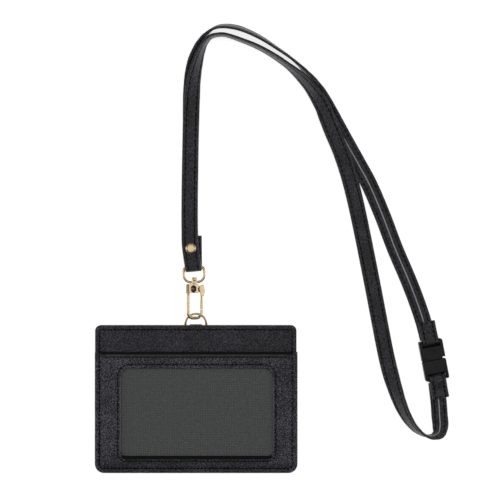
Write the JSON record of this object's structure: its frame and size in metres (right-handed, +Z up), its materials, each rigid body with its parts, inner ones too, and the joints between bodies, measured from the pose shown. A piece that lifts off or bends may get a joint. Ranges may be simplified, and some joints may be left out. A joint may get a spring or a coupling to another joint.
{
  "type": "lanyard badge holder",
  "caption": "Leather badge holder with a window pocket on a folded strap lanyard, joined by a D-ring, a snap hook and a pull-apart clasp.",
  "frame": {"origin": "centre of the holder's back face, which lies on the table", "axes": "+X across the card, +Y from the holder towards its strap ring, +Z up out of the window"},
  "size_m": [0.1936, 0.2457, 0.0095],
  "materials": {
    "pocket_leather": "pebbled, satin",
    "strap_leather": "fine grain, satin",
    "lining": "dark cloth",
    "film": "clear soft vinyl",
    "thread": "bonded thread",
    "gold_metal": "polished pale gold plate",
    "clasp_plastic": "fine moulded texture",
    "board": "pressed foam board",
    "spring_steel": "drawn wire"
  },
  "bodies": {
    "holder": {"back_panel": "pocket_leather", "edge_band": "pocket_leather", "padding_board": "board", "ring_tab": "pocket_leather", "front_panel": "pocket_leather", "pocket_lining": "lining", "window_film": "film", "window_panel": "pocket_leather", "pocket_hem": "pocket_leather", "perimeter_thread": "thread", "window_thread": "thread", "hem_thread": "thread"},
    "ring": {"holder_ring": "gold_metal"},
    "hook": {"hook_frame": "gold_metal", "gate_pin": "gold_metal", "gate_spring": "spring_steel", "swivel_post": "gold_metal"},
    "gate": {"hook_gate": "gold_metal"},
    "swivel": {"strap_ring": "gold_metal"},
    "lanyard": {"front_strap": "strap_leather", "rear_strap": "strap_leather", "strap_tail": "strap_leather", "rivet_cap": "gold_metal", "rivet_back": "gold_metal", "clasp_socket": "clasp_plastic", "socket_strap_loop": "strap_leather"},
    "plug": {"clasp_plug": "clasp_plastic", "plug_strap_loop": "strap_leather"}
  },
  "joints": [
    {"name": "ring_swing", "type": "hinge", "parent": "holder", "child": "ring", "pos_m": [0, 0.03955, 0.0022], "axis": [1, 0, 0], "range_deg": [-35, 15]},
    {"name": "hook_turn", "type": "hinge", "parent": "ring", "child": "hook", "pos_m": [0, 0.04093, 0.00246], "axis": [0, -0.1822, 0.9833], "range_deg": [-25, 25]},
    {"name": "gate_open", "type": "hinge", "parent": "hook", "child": "gate", "pos_m": [0.00157, 0.0599, 0.00177], "axis": [-0.5299, 0, -0.848], "range_deg": [0, 18], "stiffness_Nm_per_rad": 0.001, "springref_deg": -34.38},
    {"name": "swivel_spin", "type": "hinge", "parent": "hook", "child": "swivel", "pos_m": [-0.0008, 0.0638, 0.00325], "axis": [0, 1, 0], "continuous": true},
    {"name": "strap_swing", "type": "hinge", "parent": "swivel", "child": "lanyard", "pos_m": [-0.00116, 0.07199, 0.00325], "axis": [0.999, 0.0436, 0], "range_deg": [-60, 60]},
    {"name": "clasp_release", "type": "slide", "parent": "lanyard", "child": "plug", "axis": [0.1874, -0.9823, 0], "range_m": [0, 0.008], "deforming": ["front_strap"]}
  ]
}
